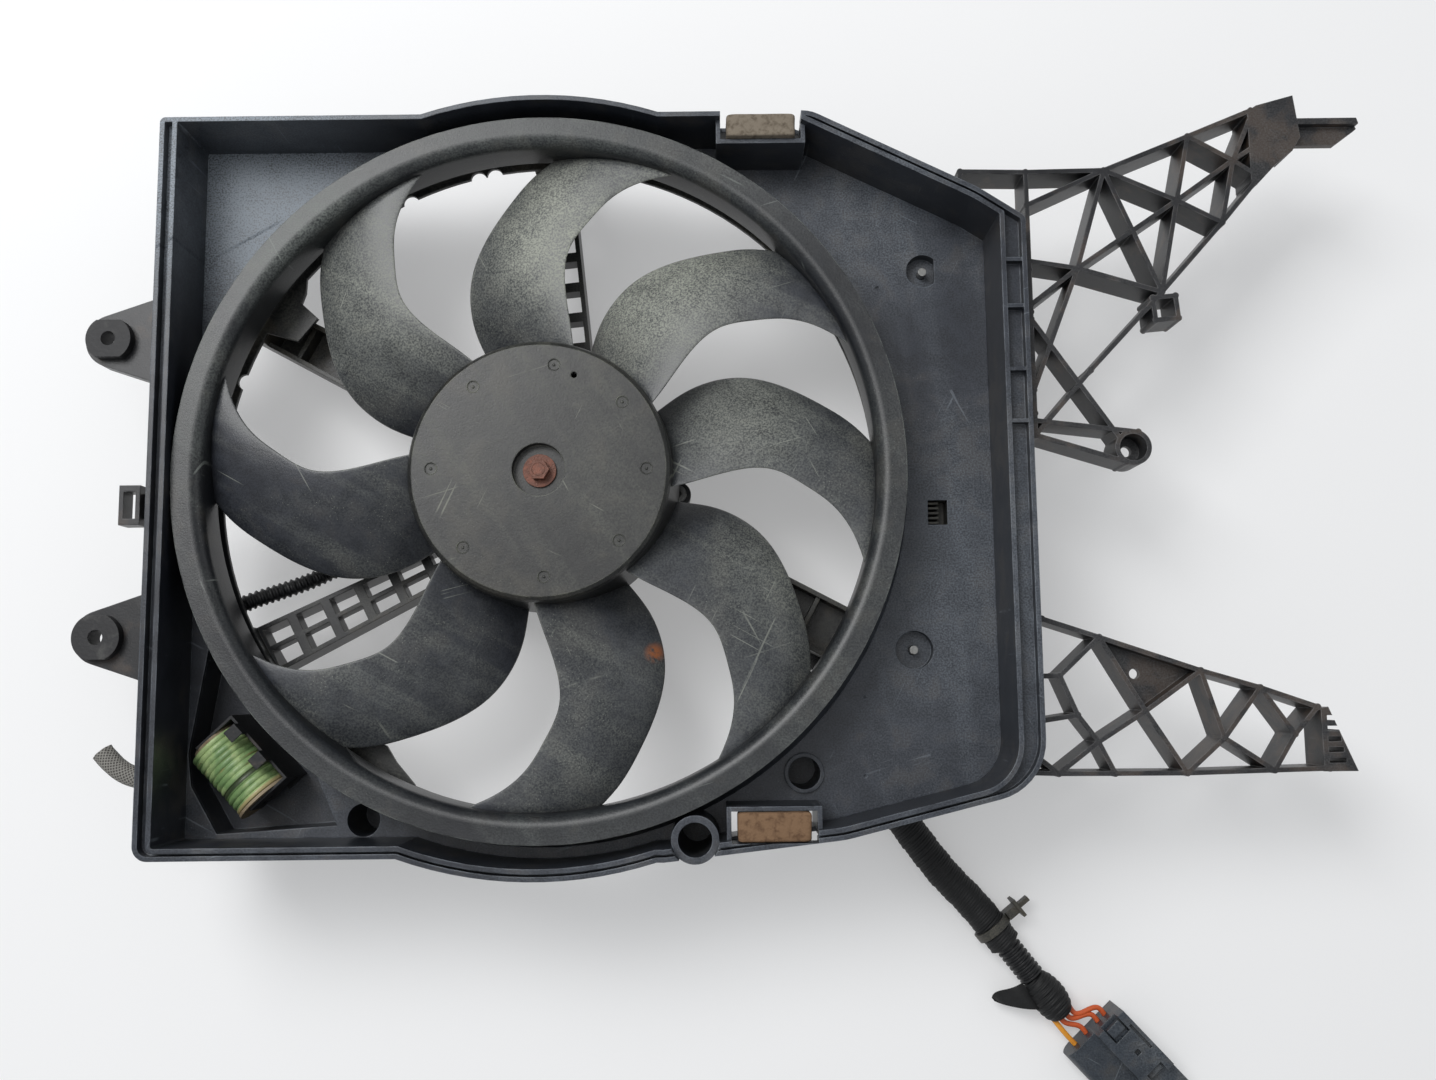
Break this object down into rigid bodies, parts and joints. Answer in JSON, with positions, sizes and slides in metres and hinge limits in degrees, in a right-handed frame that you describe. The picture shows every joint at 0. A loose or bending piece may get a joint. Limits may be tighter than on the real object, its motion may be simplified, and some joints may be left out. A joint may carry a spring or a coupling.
{
  "type": "radiator cooling fan",
  "caption": "Electric radiator cooling fan with banded swept blades in a moulded shroud, with lattice arms, side ears, series resistor and a taped motor harness.",
  "frame": {"origin": "on the fan axis, in the plane of the motor's flat rear face", "axes": "+X along the long side towards the lattice arms, +Y up the radiator, +Z from the motor towards the radiator"},
  "size_m": [0.716, 0.5841, 0.1061],
  "materials": {
    "shroud_plastic": "satin moulded polyamide with dust and scuffs",
    "fan_plastic": "dusty moulded fan plastic",
    "duct_plastic": "black moulded plastic",
    "rubber": "matt black rubber",
    "pad_grey": "speckled weathered rubber",
    "pad_brown": "sun-faded rubber",
    "can_steel": "black painted steel",
    "cover_aluminium": "cast aluminium",
    "steel": "zinc-plated steel",
    "rusty_steel": "rusted steel",
    "magnet": "sintered ferrite",
    "lamination": "stacked laminations",
    "copper": "enamelled copper",
    "phenolic": "brown phenolic board",
    "carbon": "carbon brush",
    "ceramic": "tan ceramic",
    "resistor_enamel": "green resistor coat with rust",
    "black_steel": "black steel strip",
    "tape": "black cloth tape",
    "conduit": "corrugated black tube",
    "braid": "grey braided sleeve",
    "wire": "orange-red wire insulation",
    "plug_plastic": "dark grey connector plastic",
    "clip_plastic": "worn nylon",
    "seal": "orange silicone",
    "lock_plastic": "pale grey plastic"
  },
  "bodies": {
    "frame": {"shroud_tray": "shroud_plastic", "tray_bell": "shroud_plastic", "tray_bosses": "shroud_plastic", "shroud_wall": "shroud_plastic", "fan_duct": "duct_plastic", "resistor_well": "shroud_plastic", "motor_carrier": "duct_plastic", "upper_arm": "shroud_plastic", "lower_arm": "shroud_plastic", "mount_ears": "shroud_plastic", "side_loop": "shroud_plastic", "pad_pockets": "shroud_plastic", "motor_can": "can_steel", "motor_rear_cover": "cover_aluminium", "magnets": "magnet", "bearing_front": "steel", "bearing_rear": "steel", "brush_plate": "phenolic", "brushes": "carbon", "brush_springs": "steel", "motor_screws": "steel", "cover_screws": "steel", "motor_grommet": "rubber", "resistor_core": "ceramic", "resistor_coat": "resistor_enamel", "resistor_bracket": "black_steel", "resistor_terminals": "steel", "resistor_screws": "steel", "resistor_lead": "conduit", "pad_top": "pad_grey", "pad_bottom": "pad_brown", "ear_bush_upper": "rubber", "ear_bush_lower": "rubber", "boss_screws": "steel", "window_clip": "clip_plastic", "sleeve_tail": "braid", "harness_held": "tape", "held_clip": "clip_plastic", "harness_conduit": "tape", "harness_corrugated": "conduit", "tape_end": "tape", "harness_clip": "clip_plastic", "harness_wires": "wire", "connector_housing": "plug_plastic", "connector_terminals": "steel", "connector_seal": "seal"},
    "rotor": {"fan_hub": "fan_plastic", "fan_blades": "fan_plastic", "fan_band": "fan_plastic", "fan_nut": "rusty_steel", "fan_washer": "rusty_steel", "motor_shaft": "steel", "armature_core": "lamination", "armature_windings": "copper", "commutator": "copper"},
    "plug_latch": {"connector_latch": "plug_plastic"},
    "plug_lock": {"connector_lock": "lock_plastic"}
  },
  "joints": [
    {"name": "fan_spin", "type": "hinge", "parent": "frame", "child": "rotor", "pos_m": [0, 0, 0.05], "axis": [0, 0, -1], "continuous": true},
    {"name": "plug_latch_press", "type": "hinge", "parent": "frame", "child": "plug_latch", "pos_m": [0.32864, -0.32334, 0.021], "axis": [-0.7314, -0.682, 0], "range_deg": [0, 4], "stiffness_Nm_per_rad": 0.05},
    {"name": "plug_lock_slide", "type": "slide", "parent": "frame", "child": "plug_lock", "axis": [0.682, -0.7314, 0], "range_m": [0, 0.004]}
  ]
}
